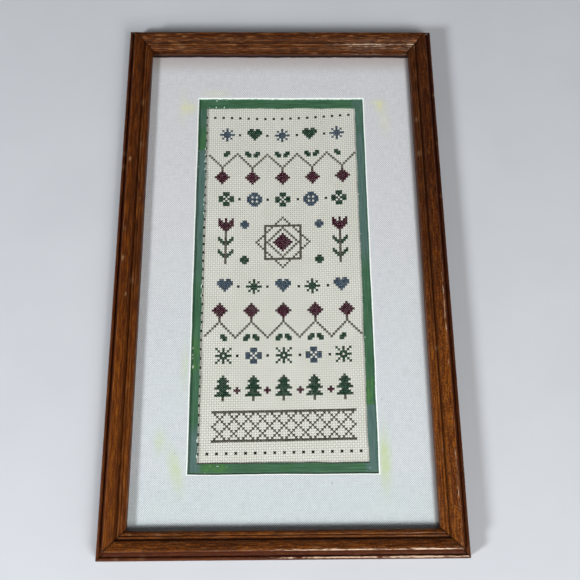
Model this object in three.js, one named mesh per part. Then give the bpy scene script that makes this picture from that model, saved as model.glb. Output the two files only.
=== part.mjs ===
// A framed cross stitch sampler, lying on its back: four mitred lengths of one moulding hold a
// linen-covered mat, a painted mat, the stitched cloth and a backing board in their rabbet.
// Millimetres. +X is the picture's right, +Y its top, +Z comes out of its face.
// The origin is the middle of the back.

import * as THREE from 'three';

// Driving sizes of the frame.
const FRAME_WIDTH = 268;
const FRAME_HEIGHT = 448;
const RAIL_WIDTH = 20.8;
const RABBET_WALL = 15.0;
const RABBET_DEPTH = 9.6;
const PIECE_GAP = 0.3;

// The moulding's levels above its back, from the outer bead to the lip beside the mat.
const BEAD_FOOT = 12.6;
const BEAD_CROWN = 13.9;
const QUIRK_FLOOR = 12.5;
const LEDGE_TOP = 13.7;
const CREST_EDGE = 21.2;
const FACE_CROWN = 21.0;
const FACE_EDGE = 18.7;
const GROOVE_FLOOR = 17.2;
const REED_CROWN = 18.1;
const REED_VALLEY = 16.7;
const LIP_CROWN = 17.0;
const LIP_EDGE = 14.4;

// Where the moulding's features lie, measured in from the outer side.
const BEAD_END = 2.8;
const QUIRK_END = 3.3;
const RISER_FOOT = 5.3;
const CREST_START = 6.1;
const FACE_END = 13.5;
const GROOVE_MIDDLE = 14.3;
const GROOVE_END = 15.1;
const REED_END = 17.0;

// The stack in the rabbet.
const OUTER_MAT_THICKNESS = 1.6;
const INNER_MAT_THICKNESS = 1.2;
const CLOTH_THICKNESS = 1.0;
const BACKING_THICKNESS = 3.0;

// The windows: the bevelled one in the linen mat and the smaller one in the painted mat.
const OUTER_WINDOW = { width: 141.8, height: 320.2, centreY: -3.0, bevel: 1.5 };
const INNER_WINDOW = { width: 128.9, height: 305.3, centreY: -3.2, bevel: 0 };

// Steps in each rounded stretch of the moulding.
const ARC_STEPS = 6;

const OAK = { color: 0x6b3a16, roughness: 0.45, metalness: 0 };
const LINEN = { color: 0xcfcfd6, roughness: 0.95, metalness: 0 };
const GREEN_BOARD = { color: 0x4f7468, roughness: 0.85, metalness: 0 };
const EVENWEAVE = { color: 0xd9d8c8, roughness: 0.95, metalness: 0 };
const BOARD = { color: 0x9a8560, roughness: 0.9, metalness: 0 };

// Carries the profile on to the next point by a rounded stretch, which bulges to a height at its middle.
function crown(profile, [toX, toZ], middleZ) {
  const [fromX, fromZ] = profile.at(-1);
  const bulge = middleZ - (fromZ + toZ) / 2;
  for (let step = 1; step <= ARC_STEPS; step++) {
    const angle = Math.PI * step / ARC_STEPS;
    const t = (1 - Math.cos(angle)) / 2;
    profile.push([fromX + (toX - fromX) * t, fromZ + (toZ - fromZ) * t + bulge * Math.sin(angle)]);
  }
}

// The moulding's section as (inward distance, height) points, from the outer side round to the rabbet.
function mouldingProfile() {
  const profile = [[0, 0], [0, BEAD_FOOT]];
  crown(profile, [BEAD_END, BEAD_FOOT], BEAD_CROWN);
  profile.push([QUIRK_END, QUIRK_FLOOR], [RISER_FOOT, LEDGE_TOP], [CREST_START, CREST_EDGE]);
  crown(profile, [FACE_END, FACE_EDGE], FACE_CROWN);
  profile.push([GROOVE_MIDDLE, GROOVE_FLOOR], [GROOVE_END, GROOVE_FLOOR]);
  crown(profile, [REED_END, REED_VALLEY], REED_CROWN);
  crown(profile, [RAIL_WIDTH, LIP_EDGE], LIP_CROWN);
  profile.push([RAIL_WIDTH, RABBET_DEPTH], [RABBET_WALL, RABBET_DEPTH], [RABBET_WALL, 0]);
  return profile;
}

// One rail along X, its outer side on y = 0 and its lip towards -Y, with both ends cut at 45 degrees.
function railGeometry(length) {
  const section = mouldingProfile().map(([inward, height]) => new THREE.Vector2(-inward, height));
  const shape = new THREE.Shape(section);
  const geometry = new THREE.ExtrudeGeometry(shape, { depth: length, bevelEnabled: false });
  geometry.translate(0, 0, -length / 2);
  const position = geometry.attributes.position;
  const mitreSetback = PIECE_GAP / 2 * Math.SQRT2;
  for (let i = 0; i < position.count; i++) {
    const inward = -position.getX(i);
    const end = Math.sign(position.getZ(i));
    const along = end * (length / 2 - inward - mitreSetback);
    position.setXYZ(i, along, -inward, position.getY(i));
  }
  return geometry;
}

// Draws a closed rectangle whose middle is at the given height on the Y axis.
function drawRectangle(path, width, height, centreY) {
  path.moveTo(-width / 2, centreY - height / 2);
  path.lineTo(width / 2, centreY - height / 2);
  path.lineTo(width / 2, centreY + height / 2);
  path.lineTo(-width / 2, centreY + height / 2);
  path.closePath();
  return path;
}

// A flat board that fills the rabbet, with an optional window.
function boardGeometry(thickness, window) {
  const inset = 2 * (RABBET_WALL + PIECE_GAP);
  const shape = drawRectangle(new THREE.Shape(), FRAME_WIDTH - inset, FRAME_HEIGHT - inset, 0);
  if (window) {
    shape.holes.push(drawRectangle(new THREE.Path(), window.width, window.height, window.centreY));
  }
  const geometry = new THREE.ExtrudeGeometry(shape, { depth: thickness, bevelEnabled: false });
  if (window && window.bevel > 0) {
    widenRim(geometry, thickness, window);
  }
  return geometry;
}

// Moves the window's upper rim outwards, so that the cut edge slopes.
function widenRim(geometry, thickness, { width, height, centreY, bevel }) {
  const position = geometry.attributes.position;
  for (let i = 0; i < position.count; i++) {
    const x = position.getX(i);
    const y = position.getY(i) - centreY;
    const onRim = Math.abs(x) < width / 2 + bevel && Math.abs(y) < height / 2 + bevel;
    if (onRim && position.getZ(i) > thickness / 2) {
      position.setXY(i, x + bevel * Math.sign(x), y + bevel * Math.sign(y) + centreY);
    }
  }
}

function piece(name, geometry, finish) {
  const mesh = new THREE.Mesh(geometry, new THREE.MeshStandardMaterial(finish));
  mesh.name = name;
  return mesh;
}

// The four rails, turned about Z to face the middle of the picture.
function addRails(group) {
  const rails = [
    { name: 'rail_top', length: FRAME_WIDTH, reach: FRAME_HEIGHT / 2, quarterTurns: 0 },
    { name: 'rail_right', length: FRAME_HEIGHT, reach: FRAME_WIDTH / 2, quarterTurns: -1 },
    { name: 'rail_bottom', length: FRAME_WIDTH, reach: FRAME_HEIGHT / 2, quarterTurns: 2 },
    { name: 'rail_left', length: FRAME_HEIGHT, reach: FRAME_WIDTH / 2, quarterTurns: 1 },
  ];
  for (const { name, length, reach, quarterTurns } of rails) {
    const turned = new THREE.Group();
    turned.rotation.z = quarterTurns * Math.PI / 2;
    const rail = piece(name, railGeometry(length), OAK);
    rail.position.y = reach;
    turned.add(rail);
    group.add(turned);
  }
}

// The boards and the cloth, stacked down from the lip's underside.
function addStack(group) {
  const layers = [
    { name: 'outer_mat', thickness: OUTER_MAT_THICKNESS, finish: LINEN, window: OUTER_WINDOW },
    { name: 'inner_mat', thickness: INNER_MAT_THICKNESS, finish: GREEN_BOARD, window: INNER_WINDOW },
    { name: 'stitched_cloth', thickness: CLOTH_THICKNESS, finish: EVENWEAVE },
    { name: 'backing_board', thickness: BACKING_THICKNESS, finish: BOARD },
  ];
  let top = RABBET_DEPTH;
  for (const { name, thickness, finish, window } of layers) {
    const layer = piece(name, boardGeometry(thickness, window), finish);
    layer.position.z = top - PIECE_GAP - thickness;
    group.add(layer);
    top = layer.position.z;
  }
}

const sampler = new THREE.Group();
addRails(sampler);
addStack(sampler);

export default sampler;
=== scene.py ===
import math
from collections import namedtuple

import bpy
import numpy as np
from mathutils import Matrix, Vector


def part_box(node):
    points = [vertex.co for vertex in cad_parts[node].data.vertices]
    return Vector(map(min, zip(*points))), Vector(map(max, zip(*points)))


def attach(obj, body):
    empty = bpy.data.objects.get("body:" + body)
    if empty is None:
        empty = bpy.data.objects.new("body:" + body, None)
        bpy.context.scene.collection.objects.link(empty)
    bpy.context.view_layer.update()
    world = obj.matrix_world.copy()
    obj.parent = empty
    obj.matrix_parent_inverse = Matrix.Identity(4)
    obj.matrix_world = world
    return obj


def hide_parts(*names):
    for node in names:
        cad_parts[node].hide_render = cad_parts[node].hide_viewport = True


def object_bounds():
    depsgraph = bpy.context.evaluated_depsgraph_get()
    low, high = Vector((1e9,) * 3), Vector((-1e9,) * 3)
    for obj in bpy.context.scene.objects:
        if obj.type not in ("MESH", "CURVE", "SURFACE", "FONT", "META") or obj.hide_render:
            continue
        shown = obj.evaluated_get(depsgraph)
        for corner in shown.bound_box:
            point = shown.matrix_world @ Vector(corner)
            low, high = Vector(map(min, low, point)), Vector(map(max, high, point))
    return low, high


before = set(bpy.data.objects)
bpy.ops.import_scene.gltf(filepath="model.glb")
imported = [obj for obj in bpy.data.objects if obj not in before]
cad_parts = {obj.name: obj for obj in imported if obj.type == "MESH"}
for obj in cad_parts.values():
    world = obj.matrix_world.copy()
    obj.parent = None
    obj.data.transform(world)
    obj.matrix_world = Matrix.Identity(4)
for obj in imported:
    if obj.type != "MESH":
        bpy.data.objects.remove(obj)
cad_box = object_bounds()

# Lengths are in millimetres and become metres when a mesh or a material is made
MM = 0.001
BODY = "root"

# The rail's section: heights above the back
BEAD_FOOT = 12.6
BEAD_CROWN = 13.9
QUIRK_FLOOR = 12.5
LEDGE_TOP = 13.7
CREST_EDGE = 21.2
FACE_CROWN = 21.0
FACE_EDGE = 18.7
GROOVE_FLOOR = 17.2
REED_CROWN = 18.1
REED_VALLEY = 16.7
LIP_CROWN = 17.0
LIP_EDGE = 14.4
RABBET_DEPTH = 9.6

# The rail's section: places inward from the outer edge
BEAD_END = 2.8
QUIRK_END = 3.3
RISER_FOOT = 5.3
CREST_START = 6.1
FACE_END = 13.5
GROOVE_MIDDLE = 14.3
GROOVE_END = 15.1
REED_END = 17.0
RAIL_WIDTH = 20.8
RABBET_WALL = 15.0
MITRE_CLEARANCE = 0.15 * math.sqrt(2)

# How finely the rails are made
ARC_STEPS = 14
CORNER_RADIUS = 0.38
CORNER_DEGREES = 25
SECTION_STEP = 1.2
RAIL_STEP = 1.5
END_LINES = (0.0, 0.4, 0.9, 1.8)
RAIL_CREASE = 38

# Where the rail's edges and hollows lie on its section: spans inward or up, and half widths of soft stripes
RABBET_SLACK = 0.2
SHOWN_SPAN = (0.5, 2.5)
STEP_SPAN = (CREST_START, CREST_START - 0.5)
FOOT_SPAN = (LIP_EDGE - 2.6, LIP_EDGE - 3.8)
CREST_SPAN = (CREST_START + 2.6, CREST_START + 1)
LIP_SPAN = (LIP_EDGE - 2, LIP_EDGE - 1)
INNER_SPAN = (FACE_END - 1, FACE_END)
# The lip's faint painted sheen, as a share of a full highlight
LIP_SHEEN = 0.30
BEAD_STRIPE = 0.6
SHOULDER_MIDDLE = CREST_START + 1.3
SHOULDER_STRIPE = 0.7
UPPER_FACE = RABBET_DEPTH + 1

# How uneven and worn the rails are, with each unevenness as height, length along and length across
SWELL = (0.05, 24, 6)
RIPPLE = (0.02, 5, 2)
RUBBING = (0.5, 11, 8)
# Gaps that break up the painted highlights: height, length along and length across, then their span and
# shares
HIGHLIGHT_GAPS = (1, 17, 40)
GAP_SPAN = (-0.25, 0.25)
GAP_SHARES = (0.55, 0.45)
RUB_DEPTH = 0.05
WEAR_REACH = 0.8
HOLLOW_CURL = (0.05, 0.34)
EDGE_CURL = (0.06, 0.30)
# The share of the hollows' dirt and painted shade kept on the outer step, and the darkening at the lip's foot
STEP_GRIME_AND_SHADE = 0.15
FOOT_GRIME = 0.25
STEP_COVER = 0.7
END_TAPER = 6.0
JOINT_REACH = 0.5
DENTS_PER_RAIL = 16
DENT_SIZES = (0.9, 2.4)
DENT_DEPTHS = (0.05, 0.18)
DEEP_DENT = 0.12
DENT_REACH = 0.46
DENT_PALENESS = 0.25
NICK_PALENESS = 0.85
NICK_STRETCH = 1.9
GRAIN_SWAY = 2.4
GRAIN_SHIFT = 700
DARK_SPAN = (-90, 90)
WARM_SPAN = (110, -190)

# The rails: turn to its side, random seed, dirt and painted shade in the hollows, darker outer step, darker
# far end, warmer near end, wavy figure, grit, painted highlights like pale scuffs on the bead, crest,
# shoulder and inner edges, where these highlights begin and are full (axis, start, end), and pale nicks
# (place along, place inward, size)
Rail = namedtuple("Rail", "name quarter_turns seed grime step dark warm figured grit scuffs gleam nicks")
LEFT_NICKS = ((4.6, 7.4, 0.8), (-25.7, 11.4, 0.6), (92.7, 8.2, 0.8))
RAILS = (
    Rail("rail_top", 0, 11, 0.55, 0.50, 0.34, 0.8, 1.0, 0.25, (0.0, 0.1, 0.0, 1.0), (0, -20, 70), ()),
    Rail("rail_right", -1, 12, 0.75, 0.68, 0.68, 1.5, 0.25, 1.15, (0.1, 0.15, 0.75, 0.1), (1, 110, -60), ()),
    Rail("rail_bottom", 2, 13, 0.60, 0.70, 0.0, 0.5, 0.5, 1.0, (2.2, 1.8, 0.5, 0.25), (0, -110, 110), ()),
    Rail("rail_left", 1, 14, 0.50, 0.50, 0.1, 1.1, 0.15, 0.3, (0.05, 0.1, 0.1, 0.05), (1, 60, -120),
         LEFT_NICKS),
)

# The windows cut in the two mats: width, height, and how far the middle lies from the frame's
OUTER_OPENING = (141.8, 320.2, -3.0)
INNER_OPENING = (128.9, 305.3, -3.2)
OUTER_BEVEL = 0.6
BARE_MARGIN = 1.3
BARE_DROP = 0.12
BEVEL_WAVER = 1.3
UNDERCUT = 0.1

# The waver of the two hand-cut windows: height, length, step from side to side, and seed
OUTER_CUT = ((0.16, 26, 1, 31), (0.06, 7, 1, 32))
INNER_CUT = ((0.42, 17, 1.7, 43), (0.24, 4.5, 2.3, 44), (0.12, 1.7, 3.1, 45))

# The boards' and the cloth's unevenness: height, length across, length up, and seed
LINEN_SWELL = (0.05, 35, 35, 33)
PAINT_WANDER = (0.5, 9, 14, 41)
PAINT_SWELL = (0.04, 5, 9, 46)
BACK_BOW = (0.06, 60, 60, 51)
DRIFT_ACROSS = (0.22, 17, 19, 61)
DRIFT_DOWN = (0.20, 15, 21, 62)
PUCKERS = (0.10, 9, 12, 63)
PUCKER_DEPTH = 0.12

# How finely the boards are made
MAT_STEP = 2.6
STRIP_WIDTH = 8.0
STRIP_STEP = 0.5
OPENING_STEP = 1.0
HIDDEN_STEP = 12
BACKING_STEP = 9.0
BOARD_CREASE = 30
TOUCHING = 1e-3

# The linen: its pitch, and where its tone changes, up the mat (painted shade at its foot among them) or for
# the painted shadow line along the right rail
LINEN_PITCH = 0.84
TINT_SPAN = (-50, 100)
COOL_SPAN = (100, -120)
LOW_SHADE_SPAN = (-158, -180)
BROWNER_TOP_SPAN = (180.0, 200.1)
TOP_DARK_LINE_SPAN = (200.1, 201.3)
TOP_BROWN_LINE_SPAN = (202.4, 203.4)
TOP_LINE_WAVER = 1.6
RIGHT_SHADOW_SPAN = (109.0, 112.6)

# Yellow-green smears on the linen: middle, half width, half height, lean in degrees and strength
SMEARS = (
    (-79.5, 148.4, 6.2, 4.8, 0, 0.70),
    (-84.6, 150.0, 2.6, 16.0, 0, 0.32),
    (-56.8, 162.5, 12.0, 3.0, 0, 0.36),
    (86.0, 149.9, 3.4, 5.6, 0, 0.75),
    (83.6, 154.0, 5.5, 2.6, 0, 0.45),
    (90.0, 134.0, 4.8, 12.0, 0, 0.28),
    (-75.6, -82.0, 3.0, 17.0, 0, 0.42),
    (-93.0, -139.2, 3.2, 8.0, 0, 0.62),
    (-80.3, -159.9, 4.2, 15.0, 14, 0.75),
    (75.8, -153.5, 3.9, 20.0, 0, 0.85),
    (76.4, -153.0, 2.6, 9.0, 0, 0.65),
)
SMEAR_LIMIT = 0.9

# Dark specks on the linen: middle and size
SPECKS = ((75.9, -107.8, 0.55), (35.9, -170.4, 0.6), (-81.2, -148.0, 0.5), (-91.7, -176.0, 0.5))

# Runs of chips along the green mat's edges, which show its white core: first and last place, count and size
CHIP_RUNS = (
    ((-67.5, 156.6), (-47.0, 156.8), 3, 0.6),
    ((-61.5, 149.9), (-48.6, 149.9), 4, 0.65),
    ((-64.8, 110.0), (-64.9, 91.0), 4, 0.7),
    ((-64.8, 62.0), (-64.8, 50.0), 3, 0.65),
    ((-64.8, -14.0), (-64.8, -22.0), 2, 0.9),
    ((-64.7, -138.5), (-64.7, -148.0), 2, 0.8),
    ((-70.2, 109.0), (-70.2, 92.0), 2, 0.5),
    ((-70.1, -65.0), (-69.8, -81.0), 4, 0.8),
    ((64.7, 87.0), (64.7, 36.0), 3, 0.6),
    ((65.0, -56.0), (64.8, -156.0), 2, 0.5),
    ((-62.9, -156.7), (-42.0, -157.8), 4, 0.45),
    ((-56.0, -162.4), (-45.0, -162.5), 2, 0.45),
    ((31.0, -162.6), (39.0, -162.5), 2, 0.45),
)
CHIP_SEED = 47
CHIP_JITTER = 0.25
CHIP_SIZES = (0.7, 1.2)
CHIP_LENGTH = 2.2
CHIP_DEPTH = 0.7

# The green mat's strips: where the side strips begin, where the end strips do, and the light painted on its
# foot against a shadow
SIDE_SPAN = (60, 64)
END_STRIP = 150
PAINT_FOOT_SPAN = (-153, -157)
FOOT_CORNER_SPAN = (-36, -46)
PAINTED_LIGHT_SPAN = (1.8, 0.5)
STROKE_SHIFT = 400

# The share of green in the teal paint of each side strip, and of a brighter grass green: heights, then shares
LEFT_GREEN = ((-136, -124, -18, 3, 40, 107.5, 109.5, 128, 133, 146, 150),
              (0.05, 0.85, 0.90, 0.45, 0.05, 0.0, 1.0, 1.0, 0.55, 0.55, 0.95))
RIGHT_GREEN = ((-112.2, -110.4, -20, 4, 14, 120, 129), (0.0, 1.0, 0.9, 0.75, 0.1, 0.0, 0.4))
LEFT_GRASS = ((-95, -82, -66, -55, 107.5, 109.5, 122, 128), (0.0, 0.7, 0.7, 0.0, 0.0, 0.45, 0.45, 0.0))
RIGHT_GRASS = ((-112.2, -110.4, -96, -80), (0.0, 0.8, 0.6, 0.0))
END_GREEN = 0.95

# The counted grid of the cloth: 14 squares an inch, pulled a little longer down the cloth
SQUARE = 25.4 / 14
SQUARE_DOWN = SQUARE * 1.021
GRID_LEFT = -64.5
GRID_TOP = 140.7
GRID_COLUMNS = 72
GRID_ROWS = 156
BORDER_PITCH = 4

# The woven squares beyond the border, and the height of each square's middle, sides and corner holes
WOVEN_LEFT = 3
WOVEN_RIGHT = 4
WOVEN_ENDS = 9
HALF_SQUARE = 0.5
HIDDEN_COLUMNS = 27
HIDDEN_ROWS = 30
HOLE_DEPTH = 0.42
SQUARE_SIDE = -0.12
SQUARE_CROWN = 0.22
TURNED_CROWN = 0.08

# How the cloth is pulled: a dip and a lift along its top, a lift along its foot, and how they fade
TOP_DIP = -1.1
DIP_COLUMN = 28
DIP_REACH = 14
TOP_LIFT = 3.5
LIFT_COLUMNS = (40, 76)
FOOT_LIFT = 1.8
PULL_FADE = 1.5

# The stitching thread: two strands in each leg of a cross, pressed flatter beside the mat
STRAND_RADIUS = 0.28
STRAND_SPREAD = 0.24
STRAND_SIDES = 5
STRAND_TAPER = (0.55, 1, 1.05, 1, 0.55)
STRAND_RINGS = len(STRAND_TAPER)
STRAND_FLATNESS = 0.8
STRAND_PINCH = (0.45, 0.55)
HOLE_SHARE = 0.75
LEG_LIFT = 0.34
SECOND_LEG_LIFT = 0.30
SECOND_STRAND_LIFT = 0.06
PRESSED_REACH = 1.2
PRESSED_SHARE = 0.45
STITCH_SEED = 70
STITCH_SHADES = (0.18, 0.82)
SHADE_SPREAD = 0.06
LEAN_SPREAD = 0.045
PLUMPNESS = (0.90, 1.12)

# Thread colours, and how much fuller than the rest a thread lies
THREADS = {
    "maroon": (0.039, 0.0020, 0.012),
    "blue": (0.040, 0.067, 0.096),
    "green": (0.006, 0.036, 0.018),
    "olive": (0.074, 0.071, 0.053),
    "black": (0.006, 0.007, 0.004),
}
FULLNESS = {"black": 1.35}

# The camera: the picture's size and focal length in pixels, and where the camera stands
PICTURE_PIXELS = 580
FOCAL_PIXELS = 800
SENSOR_WIDTH = 36.0
CAMERA_PLACE = (-4.65, -229.37, 614.58)
CAMERA_ROLL = -0.222
CAMERA_TILT = 19.156
CAMERA_PAN = -0.901
NEAR_CLIP = 10

# The soft lights, in metres and watts: place, width and height, power and colour
LIGHTS = {
    "right_light": ((0.66, -1.14, 1.26), (0.75, 0.95), 26.0, (1.0, 0.99, 0.98)),
    "left_light": ((-1.47, -1.20, 1.30), (0.38, 0.38), 45.0, (0.955, 0.98, 1.0)),
}
SURROUND_LOW = (0.30, 0.305, 0.31, 1)
SURROUND_HIGH = (0.046, 0.046, 0.05, 1)
FLOOR_HALF = 12000


# Small tools

def smooth(low, high, value):
    """0 below low, 1 above high, and a soft rise between them."""
    share = np.clip((value - low) / (high - low), 0, 1)
    return share * share * (3 - 2 * share)


def lattice(column, row, seed):
    """A repeatable value from 0 to 1 for each whole-number place."""
    value = np.sin(column * 127.1 + row * 311.7 + seed * 74.7) * 43758.5453
    return value - np.floor(value)


def soft_noise(x, y, seed):
    """Smooth noise from -1 to 1 with one cell a unit."""
    x, y = np.broadcast_arrays(np.asarray(x, float), np.asarray(y, float))
    column, row = np.floor(x), np.floor(y)
    across = smooth(0, 1, x - column)
    down = smooth(0, 1, y - row)
    near = lattice(column, row, seed) * (1 - across) + lattice(column + 1, row, seed) * across
    far = lattice(column, row + 1, seed) * (1 - across) + lattice(column + 1, row + 1, seed) * across
    return (near * (1 - down) + far * down) * 2 - 1


def waves(x, y, height, length_x, length_y, seed):
    """Soft noise of a height, with a length along x and along y."""
    return height * soft_noise(x / length_x, y / length_y, seed)


def waver(along, side, form):
    """How far a hand-cut side of a window wavers along its length."""
    return sum(height * soft_noise(along / length, side * step, seed) for height, length, step, seed in form)


def box_mm(node):
    """A CAD node's lowest and highest corners in millimetres."""
    low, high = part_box(node)
    return np.array(low) / MM, np.array(high) / MM


def graded(*stretches):
    """Grid lines over stretches of (start, end, step), each line once."""
    found = []
    for start, end, step in stretches:
        count = max(1, math.ceil((end - start) / step - 1e-6))
        found.append(np.linspace(start, end, count + 1))
    return np.unique(np.round(np.concatenate(found), 5))


def bordered(low, start, end, high, margin, steps):
    """Grid lines around an opening, with steps for outside, for a margin beside it and for across it."""
    outside, beside, across = steps
    return graded((low, start - margin, outside), (start - margin, start, beside), (start, end, across),
                  (end, end + margin, beside), (end + margin, high, outside))


class Window:
    """A window cut in a board: its size and place, and what the board's grid needs to know of it."""

    def __init__(self, width, height, centre):
        self.half_wide = width / 2
        self.half_tall = height / 2
        self.centre = centre
        self.bottom = centre - self.half_tall
        self.top = centre + self.half_tall

    def grown(self, margin):
        """A window larger by a margin all round."""
        return Window(2 * (self.half_wide + margin), 2 * (self.half_tall + margin), self.centre)

    def grid(self, low, high, margin, steps):
        """The grid lines across and up a board with this window."""
        xs = bordered(low[0], -self.half_wide, self.half_wide, high[0], margin, steps)
        ys = bordered(low[1], self.bottom, self.top, high[1], margin, steps)
        return xs, ys

    def outside(self, xs, ys):
        """True for each grid cell that lies outside the window."""
        inside_x = np.abs((xs[1:] + xs[:-1]) / 2) < self.half_wide
        inside_y = np.abs((ys[1:] + ys[:-1]) / 2 - self.centre) < self.half_tall
        return ~(inside_x[:, None] & inside_y[None, :])

    def holds(self, x, y):
        """True for each grid point inside the window or on its outline."""
        inside_x = np.abs(x) < self.half_wide + TOUCHING
        return inside_x & (np.abs(y - self.centre) < self.half_tall + TOUCHING)

    def shifted(self, x, y, form, shift=0, share=1):
        """Moves the grid points on the outline away from the middle by a shift and a share of a waver."""
        above = y - self.centre
        on_outline = self.holds(x, y)
        on_side = on_outline & np.isclose(np.abs(x), self.half_wide, atol=TOUCHING)
        on_end = on_outline & np.isclose(np.abs(above), self.half_tall, atol=TOUCHING)
        moved_x = x + np.where(on_side, np.sign(x) * (shift + share * waver(y, np.sign(x), form)), 0)
        end = np.sign(above)
        moved_y = y + np.where(on_end, end * (shift + share * waver(x, 3 + end, form)), 0)
        return moved_x, moved_y


OUTER_WINDOW = Window(*OUTER_OPENING)
INNER_WINDOW = Window(*INNER_OPENING)


# Meshes

def add_piece(name, points, faces, replaced=(), materials=(), face_materials=None):
    """A mesh piece that rides on the body and may stand for CAD nodes."""
    mesh = bpy.data.meshes.new(name)
    mesh.from_pydata((np.asarray(points) * MM).tolist(), [], faces)
    for material in materials:
        mesh.materials.append(material)
    if face_materials is not None:
        mesh.polygons.foreach_set("material_index", np.asarray(face_materials, np.int32))
    mesh.polygons.foreach_set("use_smooth", np.ones(len(mesh.polygons), bool))
    mesh.update()
    piece = bpy.data.objects.new(name, mesh)
    bpy.context.scene.collection.objects.link(piece)
    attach(piece, BODY)
    if replaced:
        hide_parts(*replaced)
    return piece


def add_values(piece, name, values):
    """A number for each point, which materials read by name."""
    attribute = piece.data.attributes.new(name, "FLOAT", "POINT")
    attribute.data.foreach_set("value", np.asarray(values, np.float32).ravel())


def add_uv(piece, name, per_point):
    """A UV map given point by point."""
    mesh = piece.data
    corners = np.empty(len(mesh.loops), np.int32)
    mesh.loops.foreach_get("vertex_index", corners)
    layer = mesh.uv_layers.new(name=name)
    layer.data.foreach_set("uv", np.asarray(per_point, np.float32)[corners].ravel())


def sharpen(piece, degrees):
    """Keeps edges that turn more than this crisp."""
    piece.data.set_sharp_from_angle(angle=math.radians(degrees))


def tube_faces(rings, sides):
    """A tube's four-sided faces, and the faces that close its first and its last ring."""
    ring, side = np.meshgrid(np.arange(rings - 1), np.arange(sides), indexing="ij")
    a = (ring * sides + side).ravel()
    b = (ring * sides + (side + 1) % sides).ravel()
    cap = np.arange(sides)
    return np.stack((a, b, b + sides, a + sides), 1), cap[::-1], cap + (rings - 1) * sides


# What each face of a board is: its surface, the wall of its window, or the bare margin around that
FACE, CUT, BARE = range(3)


class Sheet:
    """A closed board over a grid of lines, with an opening where cells are left out."""

    def __init__(self, xs, ys, keep, top, bottom, bare=None):
        grid = np.meshgrid(xs, ys, indexing="ij")
        upper = np.stack(top(*grid), -1).reshape(-1, 3)
        lower = np.stack(bottom(*grid), -1).reshape(-1, 3)
        rows = len(ys)
        column, row = np.nonzero(keep)
        a = column * rows + row
        b = a + rows
        c = b + 1
        d = a + 1
        below = len(upper)
        faces = [np.stack((a, b, c, d), 1), np.stack((d, c, b, a), 1) + below]
        plain = np.full(len(a), FACE)
        kinds = [plain if bare is None else np.where(bare[keep], BARE, FACE), plain]
        padded = np.pad(keep, 1)
        for start, end, step_column, step_row in ((a, b, 0, -1), (b, c, 1, 0), (c, d, 0, 1), (d, a, -1, 0)):
            next_column = column + step_column
            next_row = row + step_row
            open_side = ~padded[next_column + 1, next_row + 1]
            p, q = start[open_side], end[open_side]
            faces.append(np.stack((q, p, p + below, q + below), 1))
            rim = (next_column < 0) | (next_row < 0) | (next_column >= len(xs) - 1) | (next_row >= rows - 1)
            kinds.append(np.where(rim[open_side], FACE, CUT))
        faces = np.concatenate(faces)
        used, renumbered = np.unique(faces, return_inverse=True)
        self.points = np.concatenate((upper, lower))[used]
        self.faces = renumbered.reshape(faces.shape).tolist()
        self.kinds = np.concatenate(kinds)

    def add(self, name, slot, node, *finishes):
        """Adds the board as a piece, with a finish for each kind of face."""
        piece = add_piece(name, self.points, self.faces, (node,), finishes, self.kinds)
        sharpen(piece, BOARD_CREASE)
        return piece


# Shader building

def operation(name):
    """A method that makes a maths node of a signal, with another number where the node takes two."""
    return lambda self, other=0.0: self.finish.maths(name, self, other)


class Signal:
    """What a node gives at each place on a surface, with sums, products and rises made as nodes too."""

    __add__ = operation("ADD")
    __sub__ = operation("SUBTRACT")
    __mul__ = operation("MULTIPLY")
    greater = operation("MAXIMUM")
    sine = operation("SINE")
    floor = operation("FLOOR")
    fraction = operation("FRACT")
    size = operation("ABSOLUTE")

    def __init__(self, finish, socket):
        self.finish = finish
        self.socket = socket

    def __rsub__(self, other):
        return self.finish.maths("SUBTRACT", other, self)

    def clamped(self):
        """The same sum or product, kept from 0 to 1."""
        self.socket.node.use_clamp = True
        return self

    def rise(self, low, high, start=0.0, end=1.0):
        """A soft change from start to end while the number goes from low to high."""
        inputs = dict(enumerate((self, low, high, start, end)))
        return self.finish.wired("ShaderNodeMapRange", inputs, interpolation_type="SMOOTHSTEP")

    def span(self, places, start=0.0, end=1.0):
        """A rise between two places in millimetres."""
        return self.rise(places[0] * MM, places[1] * MM, start, end)


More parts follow.
